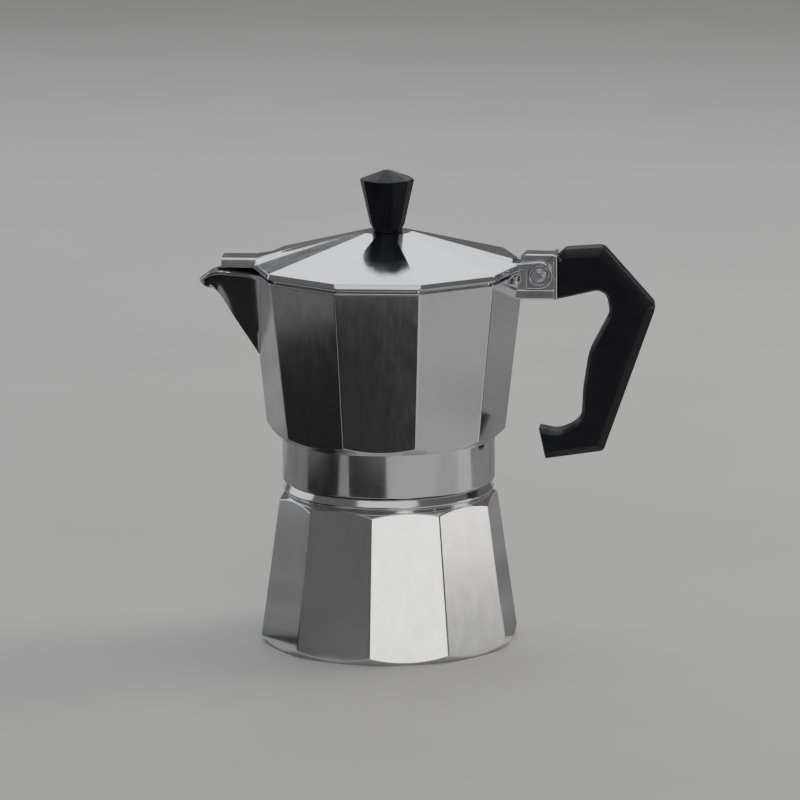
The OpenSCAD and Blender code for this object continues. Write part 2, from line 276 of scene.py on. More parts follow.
def finished(piece, body, materials, nodes=(), choose=None, sharp=38):
    """Scales a piece to metres, shades it, gives it its body and materials, and hides the CAD nodes that it
    replaces.
    """
    mesh = piece.data
    mesh.transform(Matrix.Scale(MM, 4))
    mesh.materials.clear()
    for material in materials:
        mesh.materials.append(material)
    if choose:
        for face in mesh.polygons:
            face.material_index = choose(face.center / MM, face.normal)
    mesh.polygons.foreach_set("use_smooth", [len(face.vertices) <= MOST_SMOOTH for face in mesh.polygons])
    mesh.set_sharp_from_angle(angle=math.radians(sharp))
    weighted = piece.modifiers.new("normals", "WEIGHTED_NORMAL")
    weighted.mode = "FACE_AREA"
    weighted.weight = 100
    weighted.keep_sharp = True
    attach(piece, body)
    if nodes:
        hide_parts(*nodes)
    return piece


# ---------------------------------------------------------------- materials

class Nodes:
    """A small helper that adds shader nodes and links them."""

    def __init__(self, name):
        self.material = bpy.data.materials.new(name)
        self.material.use_nodes = True
        self.tree = self.material.node_tree
        self.shader = self.tree.nodes["Principled BSDF"]
        self.coordinates = self.tree.nodes.new("ShaderNodeTexCoord").outputs["Object"]

    def add(self, kind, **values):
        node = self.tree.nodes.new(kind)
        for key, value in values.items():
            setattr(node, key, value)
        return node

    def link(self, source, target):
        self.tree.links.new(source, target)

    def noise(self, stretch, detail, source=None):
        mapping = self.add("ShaderNodeMapping")
        mapping.inputs["Scale"].default_value = stretch
        self.link(source or self.coordinates, mapping.inputs["Vector"])
        noise = self.add("ShaderNodeTexNoise")
        noise.inputs["Scale"].default_value = 1.0
        noise.inputs["Detail"].default_value = detail
        self.link(mapping.outputs["Vector"], noise.inputs["Vector"])
        return noise.outputs["Fac"]

    def around(self):
        """Coordinates that follow the turning marks: radius, a slow drift with the angle, and height."""
        parts = self.add("ShaderNodeSeparateXYZ")
        self.link(self.coordinates, parts.inputs[0])
        x2 = self.math("MULTIPLY", parts.outputs["X"], parts.outputs["X"])
        y2 = self.math("MULTIPLY", parts.outputs["Y"], parts.outputs["Y"])
        radius = self.math("SQRT", self.math("ADD", x2, y2))
        angle = self.math("ARCTAN2", parts.outputs["Y"], parts.outputs["X"])
        joined = self.add("ShaderNodeCombineXYZ")
        self.link(radius, joined.inputs["X"])
        self.link(self.math("MULTIPLY", self.math("SINE", angle), 0.01), joined.inputs["Y"])
        self.link(parts.outputs["Z"], joined.inputs["Z"])
        return joined.outputs[0]

    def math(self, operation, a, b=None):
        node = self.add("ShaderNodeMath", operation=operation)
        for socket, value in zip(node.inputs, (a, b)):
            if value is None:
                continue
            if isinstance(value, (int, float)):
                socket.default_value = value
            else:
                self.link(value, socket)
        return node.outputs[0]

    def span(self, value, lowest, highest, start=0.3, end=0.7):
        """Maps a 0-1 value to a range, with soft ends."""
        node = self.add("ShaderNodeMapRange", interpolation_type="SMOOTHSTEP")
        node.inputs["From Min"].default_value = start
        node.inputs["From Max"].default_value = end
        node.inputs["To Min"].default_value = lowest
        node.inputs["To Max"].default_value = highest
        self.link(value, node.inputs["Value"])
        return node.outputs["Result"]

    def colours(self, value, stops):
        ramp = self.add("ShaderNodeValToRGB")
        elements = ramp.color_ramp.elements
        while len(elements) < len(stops):
            elements.new(0.5)
        for element, (position, colour) in zip(elements, stops):
            element.position = position
            element.color = (*colour, 1)
        self.link(value, ramp.inputs["Fac"])
        return ramp.outputs["Color"]

    def bump(self, height, distance, strength, below=None):
        node = self.add("ShaderNodeBump")
        node.inputs["Distance"].default_value = distance
        node.inputs["Strength"].default_value = strength
        self.link(height, node.inputs["Height"])
        if below is not None:
            self.link(below, node.inputs["Normal"])
        return node.outputs["Normal"]

    def set(self, **values):
        for name, value in values.items():
            socket = self.shader.inputs[name.replace("_", " ")]
            if isinstance(value, (int, float, tuple)):
                socket.default_value = value
            else:
                self.link(value, socket)
        return self.material


def shades(colour, spread):
    """Two stops of a colour ramp: a little darker and a little lighter than the colour."""
    darker = tuple(c * (1 - spread) for c in colour)
    lighter = tuple(min(1, c * (1 + spread)) for c in colour)
    return [(0.25, darker), (0.75, lighter)]


def polished(name, colour, streaks, rough, follow_turning=False, marks=0.06, depth=2e-6, uneven=0.12):
    """Polished metal with fine streaks: streaks is how the streak noise is stretched along each axis."""
    n = Nodes(name)
    source = n.around() if follow_turning else None
    fine = n.noise(streaks, detail=4, source=source)
    cloud = n.noise((70, 70, 55), detail=3)
    smear = n.noise((260, 260, 120), detail=2)
    base = n.colours(cloud, shades(colour, 0.035))
    along_streaks = n.span(fine, rough * (1 - uneven), rough * (1 + uneven))
    roughness = n.math("ADD", along_streaks, n.span(smear, -0.015, 0.02))
    pits = n.span(n.noise((1900, 1900, 1900), detail=2), 0, marks, 0.60, 0.78)
    roughness = n.math("ADD", roughness, pits)
    normal = n.bump(fine, depth, 0.5, below=n.bump(cloud, 1.2e-4, 0.08))
    return n.set(Base_Color=base, Metallic=1.0, Roughness=roughness, Normal=normal)


def resin(name):
    """Black heatproof resin: half gloss, finely pebbled, a little worn along its edges."""
    n = Nodes(name)
    fine = n.noise((2600, 2600, 2600), detail=2)
    cloud = n.noise((140, 140, 140), detail=3)
    geometry = n.add("ShaderNodeNewGeometry")
    wear = n.span(geometry.outputs["Pointiness"], 0, 1, 0.52, 0.60)
    tone = n.math("ADD", n.math("MULTIPLY", cloud, 0.5), n.math("MULTIPLY", wear, 0.35))
    base = n.colours(tone, [(0.1, (0.008, 0.008, 0.011)), (0.75, (0.022, 0.022, 0.028))])
    roughness = n.math("ADD", n.span(cloud, 0.28, 0.4), n.math("MULTIPLY", wear, 0.05))
    normal = n.bump(fine, 1.5e-5, 0.35, below=n.bump(cloud, 1.2e-4, 0.15))
    return n.set(Base_Color=base, Roughness=roughness, Normal=normal, Specular_IOR_Level=0.3)


def soft_solid(name, colour, grain, rough, depth):
    """Matt rubber or fibre with a fine grain."""
    n = Nodes(name)
    fine = n.noise(grain, detail=4)
    cloud = n.noise((160, 160, 160), detail=2)
    mixed = n.math("ADD", n.math("MULTIPLY", fine, 0.4), n.math("MULTIPLY", cloud, 0.6))
    base = n.colours(mixed, shades(colour, 0.12))
    roughness = n.span(fine, rough - 0.06, rough + 0.06)
    return n.set(Base_Color=base, Roughness=roughness, Normal=n.bump(fine, depth, 0.5))


ALUMINIUM = (0.80, 0.80, 0.81)
M_FACET = polished("brushed_aluminium", ALUMINIUM, (1500, 1500, 24), 0.13)
M_TURNED = polished("turned_aluminium", ALUMINIUM, (3200, 60, 3200), 0.13, follow_turning=True)
M_LID = polished("lid_aluminium", (0.83, 0.835, 0.86), (900, 900, 900), 0.11, marks=0.04, depth=8e-7)
M_INSIDE = polished("cast_inside", (0.66, 0.66, 0.67), (700, 700, 700), 0.36, marks=0.2, depth=2e-5)
M_SHEET = polished("sheet_aluminium", (0.74, 0.74, 0.76), (2600, 60, 2600), 0.27, follow_turning=True)
M_STEEL = polished("plated_steel", (0.64, 0.64, 0.66), (1500, 1500, 1500), 0.2)
M_BRASS = polished("turned_brass", (0.72, 0.53, 0.24), (1200, 1200, 1200), 0.22)
M_RESIN = resin("black_resin")
M_FIBRE = soft_solid("pressed_fibre", (0.50, 0.29, 0.16), (1800, 1800, 1800), 0.72, 3e-5)
M_RUBBER = soft_solid("gasket_rubber", (0.80, 0.78, 0.70), (2200, 2200, 2200), 0.6, 1.5e-5)


# ---------------------------------------------------------------- camera, floor and lights

def look_at(obj, place, target, roll=0.0):
    """Puts a camera or light at a place, aimed at a target."""
    back = (Vector(place) - Vector(target)).normalized()
    turn = back.to_track_quat("Z", "Y").to_matrix().to_4x4()
    obj.matrix_world = Matrix.Translation(place) @ turn @ Matrix.Rotation(roll, 4, "Z")


# The camera that was fitted to the photo's corners: angles, metres and lens in millimetres.
CAMERA_AZIMUTH = math.radians(4.5)
CAMERA_ELEVATION = math.radians(11.52)
CAMERA_ROLL = math.radians(-0.34)
CAMERA_DISTANCE = 2.2
CAMERA_AIM = (0, 0, 0.0803)
CAMERA_LENS = 299.9
CAMERA_SHIFT = 0.0146


def camera():
    """The photograph's camera."""
    data = bpy.data.cameras.new("camera")
    data.sensor_width = 36
    data.lens = CAMERA_LENS
    data.shift_x = CAMERA_SHIFT
    data.clip_end = 20
    obj = bpy.data.objects.new("camera", data)
    bpy.context.scene.collection.objects.link(obj)
    target = Vector(CAMERA_AIM)
    level = math.cos(CAMERA_ELEVATION)
    back = Vector((math.sin(CAMERA_AZIMUTH) * level, -math.cos(CAMERA_AZIMUTH) * level,
                   math.sin(CAMERA_ELEVATION)))
    look_at(obj, target + back * CAMERA_DISTANCE, target, CAMERA_ROLL)
    bpy.context.scene.camera = obj


def area_light(name, place, target, width, height, radiance, colour):
    """A rectangular light of a given brightness, seen as such in the metal's reflections."""
    data = bpy.data.lights.new(name, "AREA")
    data.shape = "RECTANGLE"
    data.size = width
    data.size_y = height
    data.energy = radiance * math.pi * width * height
    data.color = colour
    obj = bpy.data.objects.new(name, data)
    bpy.context.scene.collection.objects.link(obj)
    look_at(obj, Vector(place), Vector(target))


def floor():
    """A plain pale floor, gently mottled so that it isn't one flat colour."""
    obj = flat_card("floor", (-3, -3), (3, 3), 0, 24)
    n = Nodes("pale_floor")
    base = n.colours(n.noise((9, 9, 9), detail=4), [(0.3, (0.74, 0.74, 0.73)), (0.7, (0.78, 0.78, 0.77))])
    obj.data.materials.append(n.set(Base_Color=base, Roughness=0.9, Specular_IOR_Level=0.0))


def flat_card(name, start, end, z, steps=1):
    """A level rectangle between two corners, in metres."""
    rows = steps + 1
    points = [(start[0] + (end[0] - start[0]) * i / steps, start[1] + (end[1] - start[1]) * j / steps, z)
              for j in range(rows) for i in range(rows)]
    faces = [(j * rows + i, j * rows + i + 1, (j + 1) * rows + i + 1, (j + 1) * rows + i)
             for j in range(steps) for i in range(steps)]
    mesh = bpy.data.meshes.new(name)
    mesh.from_pydata(points, [], faces)
    obj = bpy.data.objects.new(name, mesh)
    bpy.context.scene.collection.objects.link(obj)
    return obj


def card(name, start, end, grey):
    """A neutral grey card lying just over the floor: only glossy reflections see it, so its grey is a
    painted reflection in the metal.
    """
    obj = flat_card(name, start, end, CARD_Z)
    n = Nodes(name + "_cloth")
    base = n.colours(n.noise((14, 14, 14), detail=3), shades((grey, grey, grey), 0.3))
    obj.data.materials.append(n.set(Base_Color=base, Roughness=0.95))
    obj.visible_camera = False
    obj.visible_diffuse = False
    obj.visible_shadow = False
    obj.visible_transmission = False
    return obj


def round_about(azimuth, distance, z):
    """A place round the object: azimuth in degrees from the camera's side, positive to the right."""
    a = math.radians(azimuth) + CAMERA_AZIMUTH
    return (distance * math.sin(a), -distance * math.cos(a), z)


# Neutral grey cards that paint darker and lighter reflections into the metal's facets, since only
# reflections see them: name, two opposite corners in metres, and how light the grey is.
CARDS = [
    ("front_flag", (-0.235, -0.325), (0.012, -0.09), 0.036),
    ("front_far_card", (-0.235, -0.9), (0.012, -0.325), 0.21),
    ("left_flag", (-0.315, -0.205), (-0.052, -0.004), 0.015),
    ("left_far_card", (-0.75, -0.205), (-0.315, -0.004), 0.22),
    ("corner_flag", (-0.75, -0.9), (-0.235, -0.205), 0.055),
    ("far_flag", (0.012, -1.1), (0.16, -0.46), 0.12),
    ("left_back_card", (-0.9, -0.004), (-0.04, 0.22), 0.28),
    ("back_card", (-0.9, 0.22), (0.0, 0.6), 0.44),
    ("right_card", (0.075, -0.17), (0.345, -0.045), 0.55),
    ("right_near_card", (0.036, 0.0), (0.06, 0.055), 0.29),
    ("right_back_card", (0.0, 0.055), (0.7, 0.6), 0.29),
]
CARD_Z = 0.001
STRIPE_GREY = 0.44
STRIPE_TURN = math.radians(-42)
WORLD_COLOUR = (0.36, 0.355, 0.35, 1)
WORLD_STRENGTH = 0.34


def lights():
    """Soft, near-white studio light: from above, a key, and panels that the metal reflects, with grey cards
    that only the metal's reflections see, as painted reflections.
    """
    centre = (0, 0, 0.08)
    area_light("overhead", (0.1, 0.3, 1.7), (0.1, 0.3, 0), 1.6, 1.2, 1.2, (1, 1, 1))
    area_light("key", (0.80, 0.40, 0.70), (0.05, 0.0, 0.05), 0.35, 0.35, 6.0, (1, 0.97, 0.93))
    area_light("fill", round_about(-2, 1.1, 0.95), centre, 1.5, 0.75, 0.8, (0.97, 0.98, 1))
    area_light("panel_lid", round_about(180, 1.0, 0.86), centre, 0.66, 0.78, 1.3, (0.93, 0.96, 1))
    area_light("panel_left", round_about(-128, 1.3, 0.48), centre, 1.3, 0.5, 0.9, (0.95, 0.96, 1))
    area_light("panel_right", round_about(88.5, 1.0, 0.10), centre, 0.36, 0.3, 2.1, (1, 0.97, 0.93))
    area_light("panel_front", round_about(17.5, 1.5, 0.13), centre, 0.36, 0.4, 2.6, (1, 0.98, 0.95))
    for name, start, end, grey in CARDS:
        card(name, start, end, grey)
    # A narrow grey card, seen only in reflections: a painted light stripe in the metal's reflection.
    stripe = card("stripe_card", (-0.03, -0.6), (0.03, -0.15), STRIPE_GREY)
    over_the_rest = Matrix.Translation((0, 0, CARD_Z))
    stripe.matrix_world = Matrix.Rotation(STRIPE_TURN, 4, "Z") @ over_the_rest
    world = bpy.data.worlds.new("studio")
    world.use_nodes = True
    background = world.node_tree.nodes["Background"]
    background.inputs["Color"].default_value = WORLD_COLOUR
    background.inputs["Strength"].default_value = WORLD_STRENGTH
    bpy.context.scene.world = world


# ---------------------------------------------------------------- boiler

def facet_z(theta, phase, r0, z0, r1, z1, cone_z, cone_r, slope):
    """Where a side of the body meets a turned cone: the cone is at cone_z where its radius is cone_r."""
    z = cone_z
    for _ in range(SOLVING_ROUNDS):
        r = facet_radius(theta, r0 + (r1 - r0) * (z - z0) / (z1 - z0), phase)
        z = cone_z + slope * (r - cone_r)
    return r, z


def boiler_outline(theta):
    """The boiler's section at one angle, from under its base, up outside and down inside."""
    side = (theta, BOILER_TURN, BASE_R, BASE_Z, SHOULDER_R, SHOULDER_Z)
    foot_r, foot_z = facet_z(*side, BASE_Z, BASE_R, 1.0)
    top_r, top_z = facet_z(*side, SHOULDER_Z, SHOULDER_R, -SHOULDER_CONE)
    cove = COVE_R + 0.6
    roof_r = facet_radius(theta, SHOULDER_R - 3, BOILER_TURN)
    floor_r = facet_radius(theta, BASE_R - 3.6, BOILER_TURN)
    return filleted([
        (0, 1.0, 0), (18, 1.0, 1), (20, 0, 1), (BASE_R - BASE_Z, 0, 0.4), (foot_r, foot_z, 0.7),
        (top_r, top_z, 0.7), (cove, SHOULDER_Z + SHOULDER_CONE * (SHOULDER_R - cove), 0.5),
        (COVE_R, BEAD_Z[0] - 0.3, 0.3), (BEAD_R - 0.5, BEAD_Z[0], 0.3), (BEAD_R, BEAD_Z[0] + 0.7, 0.7),
        (BEAD_R - 1.3, BEAD_Z[1] - 0.4, 0.7), (BEAD_R - 2.2, BEAD_Z[1], 0.5), (NECK_R, BEAD_Z[1], 0.5),
        (NECK_R, NECK_TOP, 0.5), (THROAT_R, NECK_TOP, 0.5), (THROAT_R, 48.6, 1.5), (31.6, ROOF_Z, 1),
        (roof_r, ROOF_Z, 1), (floor_r, FLOOR_Z, 2), (0, FLOOR_Z, 0)])


def helix_ridge(name, outline, turns, z):
    """A thread's ridge that tapers in and out at its ends: outline is (radius, height) points."""
    count = round(turns * THREAD_STEPS)
    root = outline[0][0]
    rings = []
    for i in range(count + 1):
        a = 2 * math.pi * i / THREAD_STEPS
        fade = min(1, 6 * i / count, 6 * (count - i) / count)
        rise = THREAD_PITCH * i / THREAD_STEPS
        ring = []
        for r, h in outline:
            reach = root + (r - root) * fade
            ring.append((reach * math.cos(a), reach * math.sin(a), z + h + rise))
        rings.append(ring)
    return loft(name, rings)


def boiler():
    """The boiler's shell with the valve's pad, and its thread as a piece of its own."""
    wall = turned("boiler_shell", boiler_outline, columns(BOILER_TURN), False)
    pad = lathe("pad", [(0, 30, 0), (6.6, 30, 0), (6.6, 38.2, 0.5), (0, 38.2, 0)], False, 48)
    pad.data.transform(valve_matrix())
    boolean(wall, pad, "UNION")

    def choose(centre, normal):
        r = math.hypot(centre.x, centre.y)
        outward = normal.x * centre.x + normal.y * centre.y
        if outward < 0 or (r < THROAT_R + 0.2 and centre.z > 2):
            return 2
        if centre.z > SHOULDER_Z + 0.3 or centre.z < 0.6 or abs(normal.z) > 0.4:
            return 1
        return 0
    finished(wall, "boiler", [M_FACET, M_TURNED, M_INSIDE], ["boiler"], choose)
    ridge = [(NECK_R - 0.3, 0), (NECK_R + 0.75, 0.5), (NECK_R + 0.9, 0.9), (NECK_R + 0.75, 1.3),
             (NECK_R - 0.3, 1.8)]
    thread = helix_ridge("boiler_thread", ridge, 1.5, 54.6)
    finished(thread, "boiler", [M_TURNED])


def valve_matrix():
    """Takes a shape made about the Z axis to the safety valve's axis, pointing outwards."""
    return (Matrix.Rotation(VALVE_TURN, 4, "Z") @ Matrix.Translation((0, 0, VALVE_Z))
            @ Matrix.Rotation(math.pi / 2, 4, "Y"))


def safety_valve():
    """Brass valve: a turned nose through a hexagon with turned chamfers."""
    def outline(theta):
        flat = HEXAGON_R * math.cos(math.pi / 6)
        off = abs((theta + math.pi / 6) % (math.pi / 3) - math.pi / 6)
        r = flat / math.cos(math.pi / 6 - off)
        cut = max(0.0, r - HEXAGON_CHAMFER_R) * 0.55
        return filleted([
            (1.4, 31.5, 0), (4.55, 31.5, 0.3), (4.55, 38.8, 0), (r - 0.01, 38.8 + cut, 0.2),
            (r, 43.4 - cut, 0.2), (5.5, 43.4, 0.15), (4.6, 43.4, 0.2), (4.6, 45.4, 0.15), (4.2, 45.7, 0.1),
            (4.6, 46.0, 0.15), (4.6, 49.2, 0.5), (2.95, 49.2, 0.2), (2.9, 38.9, 0), (1.4, 37.4, 0)], True)
    body = turned("valve_hexagon", outline, even_columns(120), True)
    body.data.transform(valve_matrix())
    finished(body, "boiler", [M_BRASS], ["valve_body"])
    keep("valve_washer", M_FIBRE)
    keep("valve_poppet", M_STEEL)
    keep("valve_spring", M_STEEL)
    keep("valve_cap", M_BRASS)


def keep(node, material):
    """A CAD node whose shape is right stays, with a better material."""
    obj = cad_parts[node]
    obj.data.materials.clear()
    obj.data.materials.append(material)


# ---------------------------------------------------------------- collector

def side_radius(theta, z):
    """Outer radius of the collector's wall: the corner under the spout stands out a little."""
    share = (z - WAIST_Z) / (RIM_Z - LIP - WAIST_Z)
    corner = WAIST_R + (RIM_R - 0.4 - WAIST_R) * share
    radius = facet_radius(theta, corner, 0)
    off = abs(theta % (2 * math.pi) - math.pi)
    if off >= 2 * HALF:
        return radius
    pulled = corner + RIDGE * (1 - 0.75 * share)
    near, far = math.sin(off), math.sin(2 * HALF - off)
    return radius * pulled * (near + far) / (pulled * near + corner * far)


def collector_outline(theta):
    """The collector's section at one angle: collar, wall, rim with its ledge, inside and underside."""
    waist_z = WAIST_Z
    for _ in range(SOLVING_ROUNDS):
        waist_r = side_radius(theta, waist_z)
        waist_z = UNDER_Z + UNDER_CONE * (waist_r - COLLAR_R)
    rim = RIM_Z - LIP
    inner_low = facet_radius(theta, WAIST_R - 3, 0, 2.5)
    inner_high = facet_radius(theta, LEDGE_R - 2.4, 0, 2.5)
    return filleted([
        (31.6, COLLAR_Z, 0.3), (COLLAR_R, COLLAR_Z, 0.5), (COLLAR_R, UNDER_Z, 0.6), (waist_r, waist_z, 0.7),
        (side_radius(theta, rim), rim, 0.15), (facet_radius(theta, RIM_R, 0), rim + 0.02, 0.3),
        (facet_radius(theta, RIM_R, 0), RIM_Z, 0.3), (facet_radius(theta, LEDGE_R, 0), RIM_Z, 0.15),
        (facet_radius(theta, LEDGE_R, 0), LEDGE_Z, 0.3), (inner_high, LEDGE_Z, 0.4), (inner_low, 74.2, 2.2),
        (min(inner_low, 33) - 3, 71.2, 2), (9, 72.2, 1), (5, 72.2, 0.3), (5, 69.45, 0.3), (7, 69.45, 1),
        (25, 66.85, 0.3), (30.3, 66.85, 0.3), (30.3, 62.9, 0.2), (31.6, 62.9, 0.2)], True)


# The keel's height as a share of its radius, and where the section's sides have points.
KEEL_SQUASH = 0.55
SIDE_SHARES = (0.03, 0.3, 0.6, 0.97, 1.0)


def spout_section(x, top, half, bottom, keel, lip=0.0):
    """A V-shaped section across the spout, with a rounded keel and a lip along its top edges."""
    bend = bottom + keel * KEEL_SQUASH
    side = []
    for k in range(7):
        a = math.pi / 2 * (1 - k / 6)
        side.append((keel * math.cos(a), bottom + keel * KEEL_SQUASH * (1 - math.sin(a))))
    side += [(keel + (half - keel) * t, bend + (top - 1.0 - bend) * t) for t in SIDE_SHARES]
    side += [(half + lip, top - 0.8), (half + lip, top - 0.15), (half + lip - 0.2, top)]
    ring = [(x, w, z) for w, z in side]
    return ring + [(x, -w, z) for w, z in reversed(side[1:])]


def curve(points, x):
    """Smooth value at x through a few (x, value) points."""
    xs, ys = [p[0] for p in points], [p[1] for p in points]
    slopes = np.gradient(ys, xs)
    i = int(np.clip(np.searchsorted(xs, x) - 1, 0, len(xs) - 2))
    h = xs[i + 1] - xs[i]
    t = (x - xs[i]) / h
    return float(ys[i] * (1 + 2 * t) * (1 - t) ** 2 + ys[i + 1] * t * t * (3 - 2 * t)
                 + h * (slopes[i] * t * (1 - t) ** 2 - slopes[i + 1] * t * t * (1 - t)))


# The spout along its length: distance forward of the axis, then the value there.
KEEL = [(40, 91.4), (42.95, 95.9), (50, 106.6), (56.7, 116.7), (57.8, 117.5), (59.6, 117.7), (60.9, 118.4),
        (61.6, 119.3)]
MOUTH = [(40, 14.0), (41.5, 12.2), (43, 10.9), (45.5, 9.3), (48, 8.0), (52, 6.2), (56.8, 4.7), (59.5, 3.7),
         (61.6, 2.3)]
LIP_TOP = [(40, 123.95), (50, 123.9), (56.2, 123.8), (58, 123.3), (60.3, 121.9), (61.6, 121.0)]
CHANNEL = [(36, 8.3), (43, 7.6), (48, 6.3), (52, 4.9), (56.8, 3.4), (59.5, 2.4), (61.6, 1.2)]
KEEL_ROUND = [(40, 0.6), (48, 0.6), (54, 0.6), (56.2, 0.7), (58, 2.0), (59.6, 2.2), (61.6, 1.6)]


def spout():
    """The pouring spout: a V-shaped keel that runs out of the body's corner into a beak."""
    places = list(np.linspace(40, 56, 28)) + list(np.linspace(56.4, 61.6, 14))
    rings = []
    for x in places:
        top, half, bottom, keel = curve(LIP_TOP, x), curve(MOUTH, x), curve(KEEL, x), curve(KEEL_ROUND, x)
        rings.append(spout_section(-x, top, half, bottom, keel, 0.3))
    rings.append(spout_section(-62.0, 120.8, 1.6, 119.9, 0.8))
    return loft("spout", rings)


def spout_channel():
    """The hollow in the spout, from the body's inside out to the beak."""
    places = list(np.linspace(36, 56, 24)) + [57.5, 59, 60.2]
    rings = []
    for x in places:
        along = max(x, 40)
        half = curve(CHANNEL, x)
        bottom = curve(KEEL, along) + max(1.6, 8.5 - (x - 38) * 0.3)
        bottom = min(bottom, curve(LIP_TOP, along) - 1.4)
        rings.append(spout_section(-x, LEDGE_Z + 3, half, bottom, min(1.6, half * 0.8)))
    return loft("channel", rings)


def slim(corners):
    """A closed outline with only a few points in each rounded corner."""
    return filleted(corners, True, SMALL_FILLET_STEPS)


def box_outline(x0, x1, z0, z1, fillet):
    """A rectangle in the X-Z plane with rounded corners."""
    return slim([(x0, z0, fillet), (x1, z0, fillet), (x1, z1, fillet), (x0, z1, fillet)])


def hinge_boss():
    """Block for the hinge pin, the shelf under it, and the flange and tang for the handle."""
    block = prism("block", slim([
        (38, 115.4, 0), (55.3, 115.4, 0.3), (55.3, 130.2, 0.3), (45.6, 130.3, 0.6), (43.7, 128.4, 0.6),
        (43.7, 121, 0.4), (38, 121, 0)]), 4.2, 0.5)
    shelf = prism("shelf", slim([
        (38, 115.4, 0), (55.4, 115.4, 0.4), (55.4, 118.7, 0.4), (38, 118.7, 0)]), 5.2, 0.5)
    flange = prism("flange", box_outline(54.9, 56.2, 115.4, 130.3, 0.35), 6.3, 0.4)
    tang = prism("tang", box_outline(56, 66, 120.5, 127.5, 0.4), 3, 0.3)
    for part in (shelf, flange, tang):
        boolean(block, part, "UNION")
    return block


def collector():
    """The collector's shell with spout and hinge block, and its thread as a piece of its own."""
    body = turned("collector_shell", collector_outline, columns(0.0), True)
    boolean(body, spout(), "UNION")
    boolean(body, hinge_boss(), "UNION")
    boolean(body, spout_channel(), "DIFFERENCE")
    merge_flats(body, lambda p: p.x > 43.6 and p.z > 115)

    def choose(centre, normal):
        r = math.hypot(centre.x, centre.y)
        outward = normal.x * centre.x + normal.y * centre.y
        if centre.z < UNDER_Z + 0.1 and r > 32 and outward > 0:
            return 1
        within = r < side_radius(math.atan2(centre.y, centre.x), centre.z) - 1.2
        in_spout = centre.x < -44 and outward > 0
        if centre.z < RIM_Z and within and not in_spout:
            return 2
        if abs(normal.z) > 0.4 and centre.z < 72:
            return 1
        return 0
    finished(body, "collector", [M_FACET, M_TURNED, M_INSIDE], ["collector"], choose)
    ridge = [(31.9, 0), (31.0, 0.5), (30.8, 0.9), (31.0, 1.3), (31.9, 1.8)]
    thread = helix_ridge("collector_thread", ridge, 1.4, COLLAR_Z + 2.2)
    finished(thread, "collector", [M_TURNED])


# ---------------------------------------------------------------- lid, knob and hinge

def lid_outline(theta):
    """The lid's section at one angle, a low ten-sided pyramid of thin metal."""
    def at(r, rounding=CORNER_R):
        return facet_radius(theta, r, 0, rounding)
    rim_top = LID_Z + LID_RIM
    return filleted([
        (at(LID_R), LID_Z, 0.3), (at(LID_R - 0.7), rim_top, 0.5), (at(8.2, 0.8), LID_TOP - 0.02, 0.8),
        (4.5, LID_TOP - 0.02, 0.2), (2.1, LID_TOP - 0.02, 0), (2.1, LID_TOP - 1.8, 0),
        (at(7, 0.8), LID_TOP - 1.8, 0.5), (at(LID_R - 4.6), LID_Z, 0.3)], True)


# The hood: how far forward it starts, its straight length, and then its prow's length.
HOOD_FRONT = 54.4
HOOD_LENGTH = 11.4
PROW_LENGTH = 11
HOOD_Z = 128.4
HOOD_HALF = 5.0
HOOD_FOOT = 5.6
PROW_FOOT = 9.2


def hood():
    """The lid's hood over the spout: a flat top, then a prow with flared sides on the lid's corner line.

    t is 0 at the front, 1 where the prow starts and 2 at its point.
    """
    rings = []
    for t in list(np.linspace(0, 1, 9)) + [1.001] + list(np.linspace(1.12, 2.0, 8)):
        x = HOOD_FRONT - HOOD_LENGTH * min(t, 1) - PROW_LENGTH * max(t - 1, 0)
        narrow = max(0.0, t - 1)
        top = HOOD_HALF * (1 - narrow) + 0.2
        foot = (HOOD_FOOT if t <= 1 else PROW_FOOT) * (1 - narrow) + 0.3
        z_top = HOOD_Z + 2.5 * narrow
        z_foot = (LID_Z + 0.2 if t <= 1 else 126.5) + 3.5 * narrow
        fillet = 0.7 * (1 - 0.8 * narrow)
        corners = [(-foot, z_foot, 0.1), (foot, z_foot, 0.1), (top, z_top, fillet), (-top, z_top, fillet)]
        rings.append([(-x, y, z) for y, z in slim(corners)])
    return loft("hood", rings)


def hood_hollow():
    """The hollow under the hood, open at its front and into the lid."""
    rings = []
    for x in (56, 50, 44, 41, 38.5):
        half = 3.5 - max(0.0, (44 - x) * 0.12)
        corners = [(-5, LID_Z - 1, 0), (5, LID_Z - 1, 0), (half, 126.6, 0.8), (-half, 126.6, 0.8)]
        rings.append([(-x, y, z) for y, z in slim(corners)])
    return loft("hood_hollow", rings)


def on_pin(quarter_turn):
    """Takes a shape made about the Z axis to the hinge pin's axis."""
    place = Matrix.Translation((PIN[0], 0, PIN[1]))
    return place @ Matrix.Rotation(quarter_turn * math.pi / 2, 4, "X")


def ear(side):
    """A hinge ear: round about the pin, and squared off towards the lid."""
    ring = [np.array((PIN[0] + EAR_R * math.cos(a), PIN[1] + EAR_R * math.sin(a)))
            for a in np.linspace(math.pi / 2, -math.pi / 2, 26)]
    lid_end = ((46.2, PIN[1] - EAR_R), (45.9, PIN[1] - 3.9), (45.9, LID_Z + 0.2), (41, LID_Z + 0.2),
               (40, LID_Z + 0.8), (40, PIN[1] + 3.6))
    outline = ring + [np.array(p) for p in lid_end]
    return prism("ear", outline, (EAR_Y[1] - EAR_Y[0]) / 2, 0.35, side * (EAR_Y[0] + EAR_Y[1]) / 2)


def ear_dish(side):
    """A shallow turned recess round the pin's head, which leaves a raised ring on the ear."""
    dish = lathe("dish", [(0, EAR_Y[1] - 0.5, 0), (3.1, EAR_Y[1] - 0.5, 0.3), (3.75, EAR_Y[1] + 0.1, 0.1),
                          (3.75, EAR_Y[1] + 1, 0), (0, EAR_Y[1] + 1, 0)], False, 64)
    dish.data.transform(on_pin(-side))
    return dish


